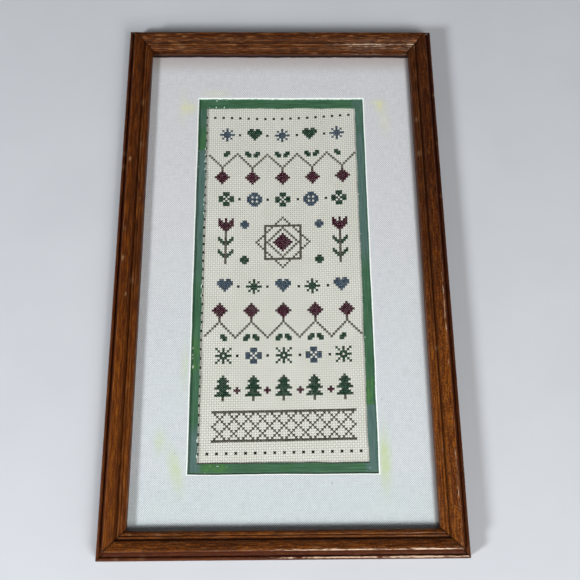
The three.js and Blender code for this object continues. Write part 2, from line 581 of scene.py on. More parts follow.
class Finish:
    """A material's node tree, with short calls for the nodes that the finishes share."""

    def __init__(self, name, roughness=0.6, specular=0.4, **settings):
        self.material = bpy.data.materials.new(name)
        self.material.use_nodes = True
        self.tree = self.material.node_tree
        self.tree.nodes.clear()
        self.colour = None
        self.shader = self.tree.nodes.new("ShaderNodeBsdfPrincipled")
        output = self.tree.nodes.new("ShaderNodeOutputMaterial")
        self.tree.links.new(self.shader.outputs["BSDF"], output.inputs["Surface"])
        self.feed("Roughness", roughness)
        self.feed("Specular IOR Level", specular)
        for socket, value in settings.items():
            self.feed(socket.replace("_", " ").title(), value)

    def put(self, socket, value):
        """Links a signal to a socket, or sets a plain value on it, a colour with full alpha."""
        if isinstance(value, Signal):
            self.tree.links.new(value.socket, socket)
        elif socket.type == "RGBA":
            socket.default_value = (*value, 1)
        else:
            socket.default_value = value

    def feed(self, name, value):
        self.put(self.shader.inputs[name], value)

    def wired(self, kind, inputs, output=0, **settings):
        """A new node with its inputs put in, as the signal of one of its outputs."""
        made = self.tree.nodes.new(kind)
        for key, value in settings.items():
            setattr(made, key, value)
        for key, value in inputs.items():
            self.put(made.inputs[key], value)
        return Signal(self, made.outputs[output])

    def maths(self, operation, a, b=0.0):
        return self.wired("ShaderNodeMath", {0: a, 1: b}, operation=operation)

    def mix(self, factor, first, second, blend="MIX"):
        inputs = {0: factor, 6: first, 7: second}
        return self.wired("ShaderNodeMix", inputs, 2, data_type="RGBA", blend_type=blend)

    def layer(self, factor, colour, blend="MIX"):
        """Lays a colour over the surface's colour so far."""
        self.colour = self.mix(factor, self.colour, colour, blend)

    def values(self, name):
        return self.wired("ShaderNodeAttribute", {}, "Fac", attribute_name=name)

    def place(self):
        return self.wired("ShaderNodeTexCoord", {}, "Object")

    def uv(self, name):
        return self.wired("ShaderNodeUVMap", {}, "UV", uv_map=name)

    def noise(self, vector, cells, detail=3.0, roughness=0.55, distortion=0.0):
        """Soft noise with a number of cells to the vector's unit, or one number for each direction."""
        if isinstance(cells, tuple):
            vector = self.wired("ShaderNodeVectorMath", {0: vector, 1: cells}, operation="MULTIPLY")
            cells = 1.0
        inputs = {"Vector": vector, "Scale": cells, "Detail": detail, "Roughness": roughness,
                  "Distortion": distortion}
        return self.wired("ShaderNodeTexNoise", inputs, "Fac")

    def joined(self, x, y):
        return self.wired("ShaderNodeCombineXYZ", {0: x, 1: y})

    def parts(self, vector):
        split = self.wired("ShaderNodeSeparateXYZ", {0: vector}).socket.node
        return [Signal(self, output) for output in split.outputs]

    def ramp(self, value, *stops):
        """A colour for each value, from stops of (value, colour)."""
        shaded = self.wired("ShaderNodeValToRGB", {0: value}, "Color")
        elements = shaded.socket.node.color_ramp.elements
        while len(elements) < len(stops):
            elements.new(0.5)
        for element, (position, colour) in zip(elements, stops):
            element.position = position
            element.color = (*colour, 1)
        return shaded

    def bump(self, height, distance, strength):
        """Adds relief, with its distance in millimetres, on top of any relief already given."""
        inputs = {"Strength": strength, "Distance": distance * MM, "Height": height}
        normal = self.shader.inputs["Normal"]
        if normal.is_linked:
            inputs["Normal"] = Signal(self, normal.links[0].from_socket)
        self.put(normal, self.wired("ShaderNodeBump", inputs, "Normal"))

    def done(self):
        """The material, with the colour that its layers make."""
        self.feed("Base Color", self.colour)
        return self.material


# Materials, with linear colours

def oak_finish():
    """Brown-stained oak: swaying streaks, dark pores, dirt and painted shade in hollows, rubbed edges,
    painted highlights.
    """
    finish = Finish("stained_oak", specular=0.20, coat_roughness=0.14)
    finish.feed("Specular Tint", (1.0, 0.72, 0.48))
    straight = finish.uv("grain")
    along, across, _ = finish.parts(straight)
    sway = finish.noise(straight, (60, 90, 1), detail=2)
    grain = finish.joined(along, across + sway * (GRAIN_SWAY * MM))
    streaks = finish.noise(grain, (75, 860, 1), detail=5, roughness=0.64)
    stain_oak(finish, straight, grain, streaks)
    pores = finish.noise(grain, (300, 1150, 1), detail=2)
    pores = pores.rise(0.54, 0.66) * finish.values("grit").rise(0.0, 1.0, 0.35, 1.0)
    finish.layer(pores * 0.60, (0.010, 0.0030, 0.0014))
    wear_and_painted_light_oak(finish, straight, streaks)
    spots = finish.noise(finish.place(), 420, detail=2)
    shine = finish.values("wear") * spots.rise(0.42, 0.60)
    finish.feed("Coat Weight", shine.rise(0.0, 1.0, 0.06, 0.9))
    finish.feed("Roughness", streaks.rise(0.3, 0.7, 0.52, 0.36))
    finish.bump(streaks - pores, 0.30, 0.7)
    finish.bump(spots, 0.20, 0.5)
    return finish.done()


def stain_oak(finish, straight, grain, streaks):
    """The oak's colour: the stain's streaks, figure and grit, patches, wavy figure, and darker toward the far
    end.
    """
    figure = finish.noise(grain, (16, 170, 1), distortion=1.0)
    grit = (finish.noise(finish.place(), 800, roughness=0.7) - 0.5) * finish.values("grit")
    tone = streaks * 0.70 + figure * 0.30 + finish.values("warmth") * 0.055 + grit * 0.55
    finish.colour = finish.ramp(tone, (0.37, (0.029, 0.0060, 0.0010)), (0.48, (0.068, 0.0150, 0.0018)),
                                (0.57, (0.122, 0.0295, 0.0031)), (0.69, (0.245, 0.0740, 0.0072)))
    patches = finish.noise(straight, (16, 16, 1), detail=2)
    finish.layer(patches.rise(0.50, 0.75, 0.0, 0.12), (0.046, 0.0090, 0.0014))
    finish.layer(finish.values("dark"), (0.31, 0.25, 0.60), "MULTIPLY")
    waves = finish.noise(grain, (85, 900, 1), roughness=0.6, distortion=0.9)
    figured = finish.values("figured")
    finish.layer(figured * waves.rise(0.50, 0.60, 0.0, 0.88), (0.022, 0.0058, 0.0024))
    finish.layer(figured * waves.rise(0.45, 0.36, 0.0, 0.55), (0.265, 0.1180, 0.0460))


def wear_and_painted_light_oak(finish, straight, streaks):
    """A dark outer step, rubbed edges, dirt and painted shade in the hollows, joints, nicks and painted
    highlights like pale scuffs.
    """
    finish.layer(finish.values("step"), (0.046, 0.0095, 0.0060))
    rubbed = finish.values("wear") * streaks.rise(0.38, 0.62, 0.15, 1.0)
    finish.layer(rubbed * 0.45, (0.26, 0.094, 0.024))
    # Dirt and painted shade in the hollows
    finish.layer(finish.values("recess"), (0.012, 0.0030, 0.0016))
    finish.layer(finish.values("joint") * 0.60, (0.004, 0.002, 0.001))
    finish.layer(finish.values("nick"), (0.40, 0.22, 0.11))
    # Painted highlights, broken like pale scuffs, on the chosen edges
    scuff = finish.values("scuff")
    marks = finish.noise(straight, (150, 1100, 1), detail=4, roughness=0.7) + scuff * 0.16
    finish.layer(scuff.rise(0.0, 1.0) * marks.rise(0.56, 0.74, 0.0, 0.92), (0.66, 0.48, 0.34))


def linen_finish():
    """White linen on board: a plain weave with thick and thin threads, smears and specks."""
    finish = Finish("white_linen", roughness=0.9, specular=0.15, sheen_weight=0.08, sheen_roughness=0.5)
    place = finish.place()
    x, y, _ = finish.parts(place)
    drift = finish.noise(place, 220, detail=2) * 2.6
    turn = math.pi / (LINEN_PITCH * MM)
    weave = (x * turn + drift).sine() * (y * turn + drift).sine()
    slubs = finish.noise(place, (120, 1050, 1)) + finish.noise(place, (1050, 120, 1))
    cloud = finish.noise(place, 28, detail=4)
    finish.colour = finish.mix(slubs.rise(0.78, 1.22), (0.690, 0.695, 0.715), (0.825, 0.830, 0.845))
    finish.layer(weave.rise(-0.9, 0.9, 1.0, 0.0), (0.39, 0.395, 0.42))
    finish.layer(cloud.rise(0.40, 0.72, 0.0, 0.25), (0.60, 0.625, 0.61))
    blotch = finish.noise(place, 330, detail=4, roughness=0.7).rise(0.28, 0.66, 0.45, 1.0)
    tint = finish.mix(y.span(TINT_SPAN), (0.50, 0.58, 0.28), (0.66, 0.66, 0.34))
    finish.layer((finish.values("smear") * blotch).clamped(), tint)
    shade_and_tone_linen(finish, place, x, y)
    for speck_x, speck_y, radius in SPECKS:
        middle = (speck_x * MM, speck_y * MM, box_mm("outer_mat")[1][2] * MM)
        away = finish.wired("ShaderNodeVectorMath", {0: place, 1: middle}, "Value", operation="DISTANCE")
        finish.layer(away.span((radius * 0.4, radius), 0.75, 0.0), (0.10, 0.09, 0.08))
    finish.bump(weave + slubs, 0.10, 0.7)
    return finish.done()


def shade_and_tone_linen(finish, place, x, y):
    """Cooler low down, painted shade at the foot, browner up top, dark and brown lines by the top rail,
    painted shadow by the right.
    """
    finish.layer(y.span(COOL_SPAN), (0.95, 0.993, 1.0), "MULTIPLY")
    # Painted shade along the bottom of the mat
    finish.layer(y.span(LOW_SHADE_SPAN), (0.945, 0.980, 0.965), "MULTIPLY")
    # Browner, darker linen toward the top
    finish.layer(y.span(BROWNER_TOP_SPAN, 0.0, 0.85), (0.40, 0.350, 0.335))
    # Painted shadow of the right rail on the linen
    finish.layer(x.span(RIGHT_SHADOW_SPAN, 0.0, 0.75), (0.20, 0.170, 0.165))
    ragged = y + finish.noise(place, 90) * (TOP_LINE_WAVER * MM)
    # A dark line, then a brown one, along the top rail
    finish.layer(ragged.span(TOP_DARK_LINE_SPAN), (0.012, 0.006, 0.004))
    finish.layer(ragged.span(TOP_BROWN_LINE_SPAN), (0.080, 0.034, 0.022))


def core_finish():
    """The bright cut core of a mat board."""
    finish = Finish("board_core", roughness=0.8, specular=0.25)
    fibres = finish.noise(finish.place(), 900)
    finish.colour = finish.ramp(fibres, (0.3, (0.80, 0.86, 0.82)), (0.7, (0.93, 0.97, 0.94)))
    finish.bump(fibres, 0.08, 0.5)
    return finish.done()


def painted_wall_finish(foot, rim):
    """The wall of the outer window: bare core at its rim, with green paint run up from its foot."""
    finish = Finish("painted_wall", roughness=0.8, specular=0.2)
    place = finish.place()
    ragged = (finish.noise(place, 600) - 0.5) * (1.2 * MM)
    bare = (finish.parts(place)[2] + ragged).span((foot * 0.55 + rim * 0.45, rim - 0.3))
    run = finish.noise(place, 300)
    finish.colour = finish.ramp(run, (0.3, (0.045, 0.120, 0.068)), (0.7, (0.09, 0.20, 0.12)))
    finish.layer(bare, (0.82, 0.88, 0.84))
    finish.bump(finish.noise(place, 900, detail=2), 0.08, 0.5)
    return finish.done()


def paint_finish():
    """Green paint brushed by hand over teal, thin in places, chipped at the cut edge, painted lighter where a
    shadow falls at its foot.
    """
    finish = Finish("brushed_green", specular=0.12)
    place = finish.place()
    strokes = finish.noise(finish.uv("strokes"), (45, 1500, 1), detail=4, roughness=0.65)
    patches = finish.noise(place, 120, detail=4, roughness=0.6)
    finish.colour = finish.ramp(strokes, (0.34, (0.050, 0.100, 0.085)), (0.50, (0.080, 0.140, 0.126)),
                                (0.66, (0.110, 0.180, 0.162)))
    green = finish.ramp(strokes, (0.34, (0.026, 0.080, 0.038)), (0.50, (0.041, 0.113, 0.055)),
                        (0.66, (0.066, 0.165, 0.082)))
    grass = finish.ramp(strokes, (0.34, (0.036, 0.118, 0.030)), (0.66, (0.084, 0.220, 0.052)))
    finish.layer((finish.values("green") + (patches - 0.5) * 0.8).clamped(), green)
    bright = (finish.values("grass") * patches.rise(0.35, 0.65)).clamped()
    finish.layer(bright, grass)
    # Painted light on the strip's foot, where the outer mat's shadow falls
    finish.layer(finish.values("painted_light") * 0.7, (0.145, 0.290, 0.175))
    dust = finish.noise(place, 1500, detail=2) + bright * 0.10
    finish.layer(dust.rise(0.70, 0.78, 0.0, 0.5), (0.36, 0.52, 0.40))
    chipped = finish.values("chip") + (finish.noise(place, 1300) - 0.5)
    finish.layer(chipped.rise(0.45, 0.7), (0.60, 0.68, 0.60))
    finish.feed("Roughness", strokes.rise(0.3, 0.7, 0.42, 0.62))
    finish.bump(strokes, 0.16, 0.8)
    return finish.done()


def cut_paint_finish():
    """The inner mat's cut edge: board with the paint run over most of it."""
    finish = Finish("painted_cut_edge", roughness=0.75, specular=0.3)
    run = finish.noise(finish.place(), 420, detail=4, roughness=0.7)
    finish.colour = finish.ramp(run, (0.42, (0.040, 0.120, 0.060)), (0.56, (0.14, 0.20, 0.14)),
                                (0.68, (0.52, 0.56, 0.48)))
    finish.bump(run, 0.1, 0.6)
    return finish.done()


def evenweave_finish():
    """Cream evenweave: blocks of four threads, upright and level by turns, painted shade on alternate blocks,
    gaps and corner holes.
    """
    finish = Finish("cream_evenweave", roughness=0.85, specular=0.25, sheen_weight=0.12, sheen_roughness=0.5)
    squares = finish.uv("squares")
    u, v, _ = finish.parts(squares)
    side_u, side_v = ((part.fraction() - 0.5).size() for part in (u, v))
    holes = side_u.rise(0.22, 0.42) * side_v.rise(0.22, 0.42)
    lines = side_u.rise(0.14, 0.46).greater(side_v.rise(0.14, 0.46))
    count = u.floor() + v.floor()
    turned = (count * 0.5).fraction() * 2
    ply_u, ply_v = ((part * (8 * math.pi)).sine() for part in (u, v))
    plies = ply_u * (1.0 - turned) + ply_v * turned
    cloud = finish.noise(finish.place(), 45, detail=4)
    uneven = finish.noise(squares, (0.15, 1.7, 1), detail=2)
    finish.colour = finish.mix(cloud.rise(0.35, 0.70), (0.662, 0.668, 0.598), (0.715, 0.722, 0.664))
    finish.layer(uneven.rise(0.4, 0.7, 0.0, 0.30), (0.70, 0.69, 0.60))
    finish.layer(plies.rise(-1, 1, 0.18, 0.0), (0.55, 0.54, 0.47))
    # Painted shade on every other block, whose threads lie the other way to the light
    finish.layer(turned * 0.27, (0.42, 0.415, 0.36))
    # Painted shade in the gaps between the blocks
    finish.layer(lines * 0.16, (0.36, 0.355, 0.30))
    # Painted shade in the corner holes
    finish.layer(holes * 0.78, (0.11, 0.108, 0.09))
    finish.bump(plies * 0.25 - lines, 0.18, 0.6)
    return finish.done()


def thread_finish(name, colour):
    """Stranded cotton of one colour, with a soft shine and a shade that varies from stitch to stitch."""
    finish = Finish(name, roughness=0.6, specular=0.12, sheen_weight=0.02, sheen_roughness=0.4)
    u, v, _ = finish.parts(finish.uv("strand"))
    ply = (u * 16 + v * (4 * math.pi)).sine()
    dark = [0.62 * part for part in colour]
    light = [min(1.0, 1.45 * part + 0.006) for part in colour]
    shade = finish.values("shade") + ply * 0.18
    finish.colour = finish.ramp(shade, (0.0, dark), (0.5, colour), (1.0, light))
    finish.bump(ply, 0.05, 0.6)
    return finish.done()


def backing_finish():
    """Plain grey-brown board."""
    finish = Finish("plain_board", roughness=0.9, specular=0.2)
    fibres = finish.noise(finish.place(), (300, 900, 300), detail=4)
    finish.colour = finish.ramp(fibres, (0.3, (0.20, 0.145, 0.090)), (0.7, (0.34, 0.255, 0.165)))
    finish.bump(fibres, 0.1, 0.5)
    return finish.done()


def floor_finish():
    """A plain pale floor with a faint unevenness."""
    finish = Finish("pale_floor", specular=0.3)
    mottle = finish.noise(finish.place(), 14, detail=5)
    finish.colour = finish.ramp(mottle, (0.3, (0.535, 0.555, 0.585)), (0.7, (0.555, 0.575, 0.605)))
    finish.feed("Roughness", mottle.rise(0.3, 0.7, 0.55, 0.7))
    return finish.done()


# The oak rails

def crown(section, end, middle):
    """Adds a round stretch from the section's last point to an end, rising through a middle height."""
    from_in, from_up = section[-1]
    to_in, to_up = end
    bulge = middle - (from_up + to_up) / 2
    for step in range(1, ARC_STEPS + 1):
        angle = math.pi * step / ARC_STEPS
        share = (1 - math.cos(angle)) / 2
        inward = from_in + (to_in - from_in) * share
        section.append((inward, from_up + (to_up - from_up) * share + bulge * math.sin(angle)))


def moulding():
    """The rail's section as (inward, up) points, clockwise from the outer back corner."""
    section = [(0, 0), (0, BEAD_FOOT)]
    crown(section, (BEAD_END, BEAD_FOOT), BEAD_CROWN)
    section += [(QUIRK_END, QUIRK_FLOOR), (RISER_FOOT, LEDGE_TOP), (CREST_START, CREST_EDGE)]
    crown(section, (FACE_END, FACE_EDGE), FACE_CROWN)
    section += [(GROOVE_MIDDLE, GROOVE_FLOOR), (GROOVE_END, GROOVE_FLOOR)]
    crown(section, (REED_END, REED_VALLEY), REED_CROWN)
    crown(section, (RAIL_WIDTH, LIP_EDGE), LIP_CROWN)
    section += [(RAIL_WIDTH, RABBET_DEPTH), (RABBET_WALL, RABBET_DEPTH), (RABBET_WALL, 0)]
    return eased(np.array(section, float))


def eased(section):
    """The closed section with its corners rounded over and no long straight stretches."""
    rounded = []
    for index, corner in enumerate(section):
        back = section[index - 1] - corner
        ahead = section[(index + 1) % len(section)] - corner
        back_length = np.hypot(*back)
        ahead_length = np.hypot(*ahead)
        turn = math.pi - math.acos(np.clip(back @ ahead / (back_length * ahead_length), -1, 1))
        if turn < math.radians(CORNER_DEGREES):
            rounded.append(corner)
            continue
        reach = min(CORNER_RADIUS, 0.4 * back_length, 0.4 * ahead_length)
        start = corner + back / back_length * reach
        end = corner + ahead / ahead_length * reach
        for t in (0, 1 / 3, 2 / 3, 1):
            rounded.append(start * (1 - t) ** 2 + corner * 2 * t * (1 - t) + end * t ** 2)
    finer = []
    for index, point in enumerate(rounded):
        following = rounded[(index + 1) % len(rounded)]
        parts = max(1, math.ceil(np.hypot(*(following - point)) / SECTION_STEP))
        finer += [point + (following - point) * part / parts for part in range(parts)]
    return np.array(finer)


class Section:
    """The rail's section, with the directions, lengths, hollows and edges that its surface needs."""

    def __init__(self):
        self.points = moulding()
        lengths = np.hypot(*(np.roll(self.points, -1, 0) - self.points).T)
        self.along = np.concatenate(((0,), np.cumsum(lengths)[:-1]))
        chord = np.roll(self.points, -1, 0) - np.roll(self.points, 1, 0)
        self.normals = np.stack((-chord[:, 1], chord[:, 0]), 1) / np.hypot(*chord.T)[:, None]
        curl = self.curl(lengths.sum())
        inward, up = self.points.T
        in_rabbet = (inward > RABBET_WALL - RABBET_SLACK) & (up < RABBET_DEPTH + RABBET_SLACK)
        # Dirt and painted shade in the hollows, with less of it on the outer step
        self.recess = smooth(*HOLLOW_CURL, curl) * np.where(inward < CREST_START, STEP_GRIME_AND_SHADE, 1)
        self.wear = smooth(*EDGE_CURL, -curl)
        self.shown = np.where(in_rabbet, 0, smooth(*SHOWN_SPAN, up))
        self.step = np.where(in_rabbet, 0, smooth(*STEP_SPAN, inward))
        self.foot = np.where(inward > REED_END, smooth(*FOOT_SPAN, up), 0)
        edge = np.where(in_rabbet, 0, self.wear)
        self.bead = np.exp(-((inward - BEAD_END / 2) / BEAD_STRIPE) ** 2) * (up > BEAD_FOOT)
        self.crest = edge * smooth(RISER_FOOT, CREST_START, inward)
        self.crest *= smooth(*CREST_SPAN, inward)
        self.shoulder = np.exp(-((inward - SHOULDER_MIDDLE) / SHOULDER_STRIPE) ** 2) * (up > UPPER_FACE)
        # A faint painted sheen on the lip's inner slope
        lip = np.where(in_rabbet, 0, LIP_SHEEN * smooth(*LIP_SPAN, up))
        self.inner = np.maximum(edge, lip) * smooth(*INNER_SPAN, inward)

    def curl(self, whole):
        """How far the surface on both sides lies outward of each point: more than 0 in a hollow."""
        around = np.concatenate((self.along - whole, self.along, self.along + whole))
        lines = np.tile(self.points.T, 3)
        before, after = (np.stack([np.interp(self.along + shift, around, line) for line in lines], 1)
                         for shift in (-WEAR_REACH, WEAR_REACH))
        return (((before + after) / 2 - self.points) * self.normals).sum(1)

    def place(self, inward):
        """How far along the section its upper face is at a place inward."""
        upper = self.points[:, 1] > UPPER_FACE
        return self.along[np.argmin(np.where(upper, np.abs(self.points[:, 0] - inward), np.inf))]


SECTION = Section()


def rail_stations(length):
    """Places along a rail as shares of its half length, close together at the mitres."""
    half = length / 2
    places = graded((-half + END_LINES[-1], half - END_LINES[-1], RAIL_STEP))
    ends = half - np.array(END_LINES[:-1])
    return np.concatenate((-ends, places, ends[::-1])) / half


def rail_dents(length, seed):
    """Dents along the rail's edges: place along it, place along the section, size and depth."""
    random = np.random.default_rng(seed)
    edges = SECTION.along[(SECTION.wear > 0.5) & (SECTION.shown > 0.9)]
    places = random.uniform(-length * DENT_REACH, length * DENT_REACH, DENTS_PER_RAIL)
    across = random.choice(edges, DENTS_PER_RAIL)
    sizes = random.uniform(*DENT_SIZES, DENTS_PER_RAIL)
    depths = random.uniform(*DENT_DEPTHS, DENTS_PER_RAIL)
    return zip(places, across, sizes, depths)


def rail_relief(rail, length, along, place, rubbing):
    """How far the surface stands proud of the section, and how much of it is nicked."""
    proud = waves(along, place, *SWELL, rail.seed) + waves(along, place, *RIPPLE, rail.seed + 1)
    proud -= RUB_DEPTH * SECTION.wear * rubbing
    nick = np.zeros_like(along)
    for dent_along, dent_place, size, depth in rail_dents(length, rail.seed):
        pit = np.exp(-((along - dent_along) ** 2 + (place - dent_place) ** 2) / size ** 2)
        proud -= depth * pit
        nick = np.maximum(nick, DENT_PALENESS * pit * (depth > DEEP_DENT))
    for nick_along, nick_inward, size in rail.nicks:
        far = ((along - nick_along) / NICK_STRETCH) ** 2 + (place - SECTION.place(nick_inward)) ** 2
        nick = np.maximum(nick, NICK_PALENESS * np.exp(-far / size ** 2))
    return proud, nick


def rail_scuffs_and_highlights(rail, along, place, points):
    """Where painted highlights, broken like pale scuffs, lie: on some edges, stronger toward one end and
    broken by gaps.
    """
    axis, start, end = rail.gleam
    gaps = smooth(*GAP_SPAN, waves(along, place, *HIGHLIGHT_GAPS, rail.seed + 3))
    gleam = smooth(start, end, points[..., axis]) * (GAP_SHARES[0] + GAP_SHARES[1] * gaps)
    edges = (SECTION.bead, SECTION.crest, SECTION.shoulder, SECTION.inner)
    return gleam * sum(strength * edge for strength, edge in zip(rail.scuffs, edges))


def add_rail(rail, length, reach, finish):
    """One mitred rail, lying along X at a reach from the middle, then turned to its side."""
    stations = rail_stations(length)[:, None]
    inward, up = SECTION.points.T
    along = stations * (length / 2 - inward - MITRE_CLEARANCE)
    place = np.broadcast_to(SECTION.along, along.shape)
    from_end = (1 - np.abs(stations)) * length / 2
    taper = smooth(0, END_TAPER, from_end) * SECTION.shown
    rubbing = 0.5 + waves(along, place, *RUBBING, rail.seed + 2)
    proud, nick = rail_relief(rail, length, along, place, rubbing)
    y = reach - (inward + SECTION.normals[:, 0] * proud * taper)
    z = np.maximum(up + SECTION.normals[:, 1] * proud * taper, 0)
    angle = rail.quarter_turns * math.pi / 2
    points = np.stack((along * math.cos(angle) - y * math.sin(angle),
                       along * math.sin(angle) + y * math.cos(angle), z), -1)
    skin, *caps = tube_faces(*along.shape)
    faces = skin.tolist() + [cap.tolist() for cap in caps]
    flat = points.reshape(-1, 3)
    piece = add_piece("oak_" + rail.name, flat, faces, (rail.name,), (finish,))
    values = {
        "joint": np.exp(-from_end / JOINT_REACH),
        # dirt and painted shade in the hollows, and the dark foot of the lip
        "recess": np.maximum(rail.grime * SECTION.recess, FOOT_GRIME * SECTION.foot),
        "step": rail.step * SECTION.step,
        "wear": SECTION.wear * rubbing * (1 - STEP_COVER * rail.step * SECTION.step),
        # painted highlights, broken like pale scuffs, on some edges
        "scuff": rail_scuffs_and_highlights(rail, along, place, points),
        "dark": rail.dark * smooth(*DARK_SPAN, points[..., 1]),
        "figured": rail.figured,
        "grit": rail.grit,
        "nick": np.clip(nick, 0, 1),
        "warmth": rail.warm * smooth(*WARM_SPAN, points[..., 1]),
    }
    for name, numbers in values.items():
        add_values(piece, name, np.broadcast_to(numbers, along.shape))
    grain = np.stack(((along + GRAIN_SHIFT * rail.seed) * MM, place * MM), -1)
    add_uv(piece, "grain", grain.reshape(-1, 2))
    sharpen(piece, RAIL_CREASE)


def add_rails():
    """The four rails around the CAD model's box."""
    low, high = np.array(cad_box[0]) / MM, np.array(cad_box[1]) / MM
    width, height = (high - low)[:2]
    finish = oak_finish()
    for rail in RAILS:
        length, across = (height, width) if rail.quarter_turns % 2 else (width, height)
        add_rail(rail, length, across / 2, finish)


# The two mats and the backing

def smear_strength(x, y):
    """How much smear lies at each place on the linen."""
    total = np.zeros_like(x)
    for middle_x, middle_y, wide, tall, degrees, strength in SMEARS:
        lean = math.radians(degrees)
        right = x - middle_x
        above = y - middle_y
        across = right * math.cos(lean) + above * math.sin(lean)
        upward = -right * math.sin(lean) + above * math.cos(lean)
        total += strength * np.exp(-(across / wide) ** 2 - (upward / tall) ** 2)
    return np.clip(total, 0, SMEAR_LIMIT)


def add_outer_mat():
    """The linen-covered board with its bevelled window and bare margin."""
    low, high = box_mm("outer_mat")
    xs, ys = OUTER_WINDOW.grid(low, high, BARE_MARGIN, (MAT_STEP, BARE_MARGIN, MAT_STEP))
    margin = OUTER_WINDOW.grown(BARE_MARGIN)

    def top(x, y):
        moved = OUTER_WINDOW.shifted(x, y, OUTER_CUT, OUTER_BEVEL, BEVEL_WAVER)
        moved = margin.shifted(*moved, OUTER_CUT)
        drop = np.where(OUTER_WINDOW.holds(x, y), BARE_DROP, 0)
        return *moved, high[2] + waves(x, y, *LINEN_SWELL) - LINEN_SWELL[0] - drop

    def bottom(x, y):
        return *OUTER_WINDOW.shifted(x, y, OUTER_CUT), np.full_like(x, low[2])

    board = Sheet(xs, ys, OUTER_WINDOW.outside(xs, ys), top, bottom, ~margin.outside(xs, ys))
    wall = painted_wall_finish(low[2], high[2])
    piece = board.add("linen_mat", "linen_mat", "outer_mat", linen_finish(), wall, core_finish())
    add_values(piece, "smear", smear_strength(board.points[:, 0], board.points[:, 1]))


def paint_zones(x, y):
    """Where the paint is green rather than teal, and where it is a brighter grass green."""
    left = smooth(*SIDE_SPAN, -x)
    right = smooth(*SIDE_SPAN, x)
    end = np.clip(1 - left - right, 0, 1)
    green = left * np.interp(y, *LEFT_GREEN) + right * np.interp(y, *RIGHT_GREEN) + end * END_GREEN
    wander = 0.5 + waves(x, y, *PAINT_WANDER)
    grass = left * np.interp(y, *LEFT_GRASS) + right * np.interp(y, *RIGHT_GRASS)
    corner = 0.10 * smooth(0.3, 0.7, wander) + 0.8 * smooth(*FOOT_CORNER_SPAN, x)
    foot = end * smooth(*PAINT_FOOT_SPAN, y) * corner
    return np.clip(green, 0, 1), np.clip(grass + foot, 0, 1)


def chips():
    """Each chip's place and size, a little out of step along its run."""
    random = np.random.default_rng(CHIP_SEED)
    for first, last, count, size in CHIP_RUNS:
        for share in (np.arange(count) + random.uniform(-CHIP_JITTER, CHIP_JITTER, count)) / (count - 1):
            x, y = (start + share * (end - start) for start, end in zip(first, last))
            yield x, y, size * random.uniform(*CHIP_SIZES)


def chip_strength(x, y):
    """How much of the paint is chipped off at each place."""
    chipped = np.zeros_like(x)
    for chip_x, chip_y, size in chips():
        wide, tall = (CHIP_LENGTH, CHIP_DEPTH) if abs(chip_y) > END_STRIP else (CHIP_DEPTH, CHIP_LENGTH)
        far = ((x - chip_x) / (wide * size)) ** 2 + ((y - chip_y) / (tall * size)) ** 2
        chipped = np.maximum(chipped, np.exp(-far))
    return chipped


def add_inner_mat():
    """The hand-painted board with its uneven hand-cut window."""
    low, high = box_mm("inner_mat")
    xs, ys = INNER_WINDOW.grid(low, high, STRIP_WIDTH, (HIDDEN_STEP, STRIP_STEP, OPENING_STEP))

    def top(x, y):
        height = high[2] + waves(x, y, *PAINT_SWELL) - PAINT_SWELL[0]
        return *INNER_WINDOW.shifted(x, y, INNER_CUT), height

    def bottom(x, y):
        return *INNER_WINDOW.shifted(x, y, INNER_CUT, UNDERCUT), np.full_like(x, low[2])

    board = Sheet(xs, ys, INNER_WINDOW.outside(xs, ys), top, bottom)
    piece = board.add("green_mat", "painted_mat", "inner_mat", paint_finish(), cut_paint_finish())
    x, y = board.points[:, 0], board.points[:, 1]
    green, grass = paint_zones(x, y)
    add_values(piece, "green", green)
    add_values(piece, "grass", grass)
    # Where light is painted on the strip's foot against the outer mat's shadow
    add_values(piece, "painted_light", smooth(*PAINTED_LIGHT_SPAN, y - OUTER_WINDOW.bottom))
    add_values(piece, "chip", chip_strength(x, y))
    on_side = (np.abs(x) > INNER_WINDOW.half_wide - 0.5)[:, None]
    lengthwise = np.stack((y, x), 1)
    crosswise = np.stack((x + STROKE_SHIFT, y), 1)
    add_uv(piece, "strokes", np.where(on_side, lengthwise, crosswise) * MM)


def add_backing():
    """The plain board that closes the back, bowed a little underneath."""
    low, high = box_mm("backing_board")
    xs, ys = (graded((low[axis], high[axis], BACKING_STEP)) for axis in (0, 1))
    everywhere = np.ones((len(xs) - 1, len(ys) - 1), bool)

    def top(x, y):
        return x, y, np.full_like(x, high[2])

    def bottom(x, y):
        return x, y, low[2] + (waves(x, y, *BACK_BOW) + BACK_BOW[0])

    Sheet(xs, ys, everywhere, top, bottom).add("plain_backing", "backing", "backing_board", backing_finish())


# The cloth

def cloth_place(column, row):
    """Where a place on the counted grid lies, in millimetres, with the cloth's pull and sag."""
    share_down = np.clip(row / GRID_ROWS, 0, 1)
    dip = TOP_DIP * np.exp(-((column - DIP_COLUMN) / DIP_REACH) ** 2)
    sag = dip + TOP_LIFT * smooth(*LIFT_COLUMNS, column)
    lift = FOOT_LIFT * np.clip(column / GRID_COLUMNS, -0.1, 1.1)
    rise = sag * (1 - share_down) ** PULL_FADE + lift * share_down ** PULL_FADE
    x = GRID_LEFT + column * SQUARE + waves(column, row, *DRIFT_ACROSS)
    y = GRID_TOP - row * SQUARE_DOWN + rise + waves(column, row, *DRIFT_DOWN)
    return x, y


def cloth_height(column, row):
    """The cloth's own ups and downs above its solid's face: soft puckers."""
    return waves(column, row, *PUCKERS) - PUCKER_DEPTH


def weave_relief(column, row):
    """How high each point stands: a crown at a square's middle, lower sides and corner holes."""
    off_column = np.abs(column - np.round(column)) > 0.25
    off_row = np.abs(row - np.round(row)) > 0.25
    block = np.where(np.round(column + row) % 2 == 1, TURNED_CROWN, SQUARE_CROWN)
    return np.select((off_column & off_row, ~off_column & ~off_row), (-HOLE_DEPTH, block), SQUARE_SIDE)


def beyond(lines, hidden):
    """Grid lines with one more at each end, as far out as the cloth is hidden."""
    return np.concatenate(((lines[0] - hidden,), lines, (lines[-1] + hidden,)))


